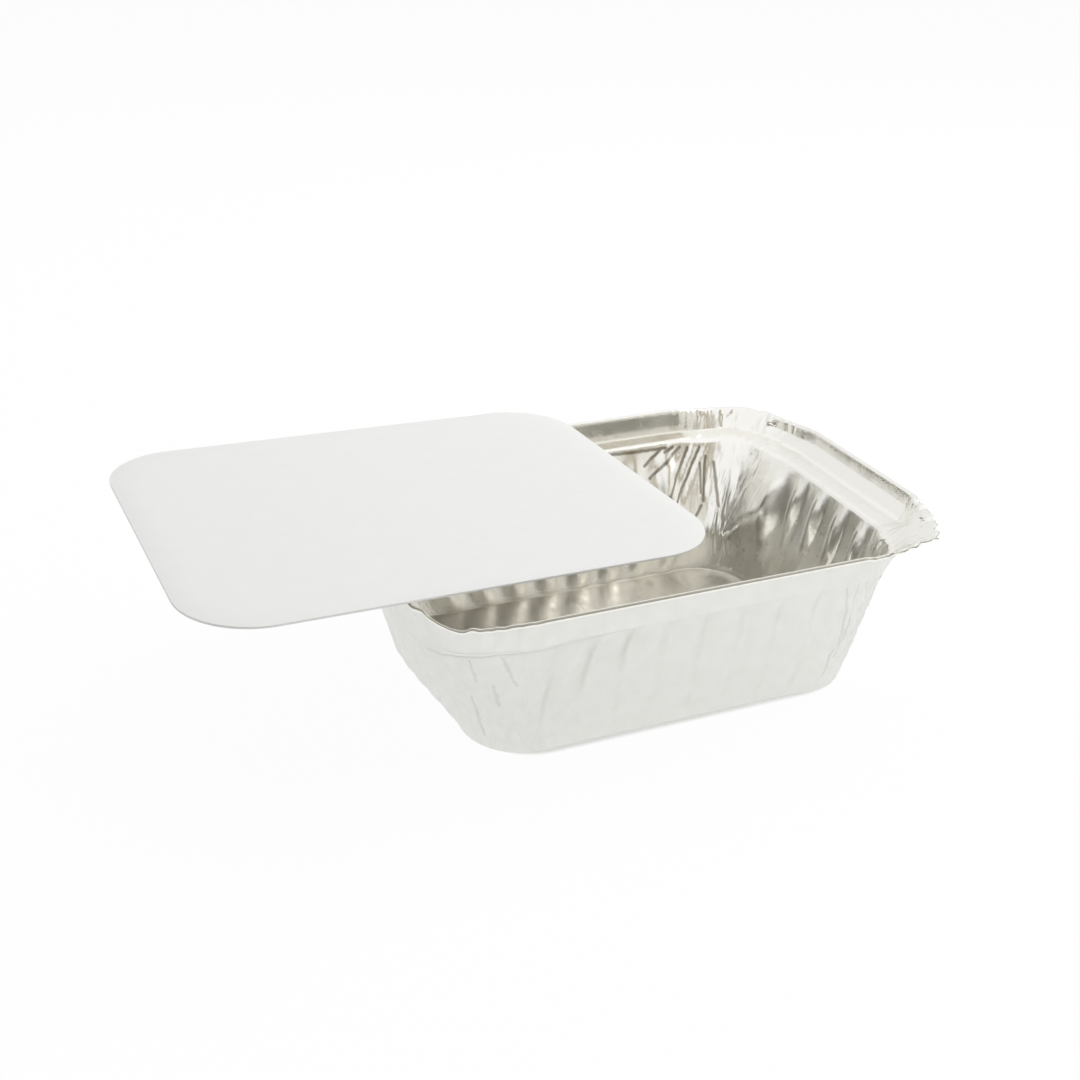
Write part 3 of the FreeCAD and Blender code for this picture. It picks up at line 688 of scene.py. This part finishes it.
def coatedBoard(look):
    # clay-coated paperboard: an even matt white with a faint cloudiness of fibres under the coat
    material = bpy.data.materials.new("coatedBoard")
    material.use_nodes = True
    tree = material.node_tree
    shader = tree.nodes["Principled BSDF"]
    shader.inputs["Roughness"].default_value = look["roughness"]
    clouds = sheetGrain(tree, 6, 6, 5.0)
    plain, cloudy = look["colours"]
    tint = addNode(tree, "ShaderNodeMix", colourMix, Factor=clouds, i6=plain, i7=cloudy).outputs[2]
    tree.links.new(tint, shader.inputs["Base Color"])
    fibres = sheetGrain(tree, 0.8, 0.3, 3.0)
    bump = addNode(tree, "ShaderNodeBump", Height=fibres, Strength=look["fibreBump"], Distance=0.02 * mm)
    tree.links.new(bump.outputs[0], shader.inputs["Normal"])
    return material


foilTray.data.materials.append(pressedFoil("brightFoil", brightFoil))
foilTray.data.materials.append(pressedFoil("satinFoil", satinFoil))
foilTray.data.materials.append(pressedFoil("beadShadeFoil", beadShadeFoil))
lidBoard.data.materials.append(coatedBoard(boardLook))
print("materials ready")


# studio: a white sweep, a broad soft light above, a lamp at the right, and a dimmer room in front of the tray
studio = {
    "floorHalf": 6.0,       # m
    # name, place, size in m and power. The side lamp's light comes back up from the tray's floor and
    # brightens the lid's underside
    "lamps": (("softbox", (0.15, 0.3, 0.9), 1.1, 4.0), ("sideLamp", (1.0, -0.1, 0.55), 1.0, 7.0)),
    "roomColour": "#A89D86",      # what the foil mirrors from behind the camera
    "horizon": 0.88,              # how bright the foil sees the low part of the sweep behind it
    "worldStrength": 0.5,
    "floorWhite": 0.96,           # share of the floor that is plain white to the camera
    "floorMirrored": 0.78,        # and to the foil
    # mm: the middle of the tray's foot, whose left end stands askew, its half length and half width less
    # its corner radius, that radius, and the reach of its narrow dark shadow
    "footAt": (2.6, -0.5), "foot": (37.3, 22.9, 16.0), "closeShadow": 1.6,
}


def farFromFoot(tree, s):
    # distance from the tray's foot: of the spot, mirrored into one quarter, from the inner rectangle
    inner = (s["foot"][0] * mm, s["foot"][1] * mm, 0)
    middle = (s["footAt"][0] * mm, s["footAt"][1] * mm, 0)
    spot = addNode(tree, "ShaderNodeTexCoord").outputs["Object"]
    spot = addNode(tree, "ShaderNodeVectorMath", "SUBTRACT", i0=spot, i1=middle).outputs[0]
    spot = addNode(tree, "ShaderNodeVectorMath", "ABSOLUTE", i0=spot).outputs[0]
    spot = addNode(tree, "ShaderNodeVectorMath", "SUBTRACT", i0=spot, i1=inner).outputs[0]
    spot = addNode(tree, "ShaderNodeVectorMath", "MAXIMUM", i0=spot, i1=(0, 0, 0)).outputs[0]
    return addNode(tree, "ShaderNodeVectorMath", "LENGTH", i0=spot).outputs["Value"]


def paperSweep(s):
    # matt white paper, lit so evenly that the camera and the foil see most of it as plain white
    material = bpy.data.materials.new("paperSweep")
    material.use_nodes = True
    tree = material.node_tree
    shader = tree.nodes["Principled BSDF"]
    shader.inputs["Base Color"].default_value = hexColour("#FCFCFC")
    shader.inputs["Roughness"].default_value = 0.9
    shader.inputs["Specular IOR Level"].default_value = 0.0
    white = addNode(tree, "ShaderNodeEmission", Strength=1.0).outputs[0]
    path = addNode(tree, "ShaderNodeLightPath").outputs
    # close to the tray's foot it is plain lit paper, so that the narrow dark shadow shows
    radius = s["foot"][2]
    plain = addNode(tree, "ShaderNodeMapRange", Value=farFromFoot(tree, s), From_Min=radius * mm,
                    From_Max=(radius + s["closeShadow"]) * mm, To_Min=0.2, To_Max=s["floorWhite"]).outputs[0]
    seen = addNode(tree, "ShaderNodeMath", "MULTIPLY", i0=path["Is Camera Ray"],
                   i1=plain).outputs[0]
    share = addNode(tree, "ShaderNodeMath", "MULTIPLY_ADD", i0=path["Is Glossy Ray"],
                    i1=s["floorMirrored"], i2=seen).outputs[0]
    both = addNode(tree, "ShaderNodeMixShader", i0=share, i1=shader.outputs[0], i2=white).outputs[0]
    tree.links.new(both, tree.nodes["Material Output"].inputs["Surface"])
    return material


def makeFloor(s):
    half = s["floorHalf"]
    mesh = bpy.data.meshes.new("studioFloor")
    corners = [(-half, -half, 0), (half, -half, 0), (half, half, 0), (-half, half, 0)]
    mesh.from_pydata(corners, [], [(0, 1, 2, 3)])
    floor = bpy.data.objects.new("studioFloor", mesh)
    floor.location.z = -0.05 * mm    # just under the tray, so that the two never share a plane
    bpy.context.scene.collection.objects.link(floor)
    mesh.materials.append(paperSweep(s))


def makeLamps(s):
    for name, place, size, power in s["lamps"]:
        lampData = bpy.data.lights.new(name, "AREA")
        lampData.shape, lampData.size, lampData.energy = "SQUARE", size, power
        lamp = bpy.data.objects.new(name, lampData)
        lamp.location = place
        lamp.rotation_euler = (-lamp.location).to_track_quat("-Z", "Y").to_euler()
        lamp.visible_glossy = name != "softbox"    # overhead the foil mirrors the white sweep alone
        bpy.context.scene.collection.objects.link(lamp)


def makeWorld(s):
    world = bpy.data.worlds.new("studioWorld")
    bpy.context.scene.world = world
    world.use_nodes = True
    tree = world.node_tree
    background = tree.nodes["Background"]
    direction = addNode(tree, "ShaderNodeTexCoord").outputs["Generated"]
    acrossWay, depthWay, upWay = addNode(tree, "ShaderNodeSeparateXYZ", i0=direction).outputs
    # the room's dim part is in front, ends lower towards the left, and begins above the white table's
    # far edge
    tilted = addNode(tree, "ShaderNodeMath", "MULTIPLY_ADD", i0=acrossWay, i1=-0.6,
                     i2=upWay).outputs[0]
    front = addNode(tree, "ShaderNodeMapRange", smooth, Value=depthWay, From_Min=-0.2,
                    From_Max=-0.6).outputs[0]
    low = addNode(tree, "ShaderNodeMapRange", smooth, Value=tilted, From_Min=0.3, From_Max=0.45,
                  To_Min=1.0, To_Max=0.0).outputs[0]
    high = addNode(tree, "ShaderNodeMapRange", smooth, Value=tilted, From_Min=0.07, From_Max=0.17,
                   To_Min=0.25).outputs[0]
    band = addNode(tree, "ShaderNodeMath", "MULTIPLY", i0=high, i1=low).outputs[0]
    dim = addNode(tree, "ShaderNodeMath", "MULTIPLY", i0=front, i1=band).outputs[0]
    # behind the tray the sweep falls off a little towards the horizon
    behind = addNode(tree, "ShaderNodeMapRange", smooth, Value=depthWay, From_Min=-0.1,
                     From_Max=0.3).outputs[0]
    level = addNode(tree, "ShaderNodeMapRange", smooth, Value=upWay, From_Min=0.5, From_Max=0.75,
                    To_Min=s["horizon"]).outputs[0]
    sweep = addNode(tree, "ShaderNodeMix", {"data_type": "FLOAT"}, Factor=behind, i2=1.0, i3=level).outputs[0]
    shade = addNode(tree, "ShaderNodeMix", colourMix, Factor=dim, i6=sweep, i7=s["roomColour"]).outputs[2]
    path = addNode(tree, "ShaderNodeLightPath").outputs
    plain = addNode(tree, "ShaderNodeMix", colourMix, Factor=path["Is Camera Ray"], i6=shade, i7="#FFFFFF")
    tree.links.new(plain.outputs[2], background.inputs["Color"])
    clear = addNode(tree, "ShaderNodeMath", "MAXIMUM", i0=path["Is Camera Ray"],
                    i1=path["Is Glossy Ray"]).outputs[0]
    strength = addNode(tree, "ShaderNodeMapRange", Value=clear, To_Min=s["worldStrength"],
                       To_Max=1.0).outputs[0]
    tree.links.new(strength, background.inputs["Strength"])


makeFloor(studio)
makeLamps(studio)
makeWorld(studio)
bpy.context.scene.view_settings.view_transform = "Standard"
print("studio ready")
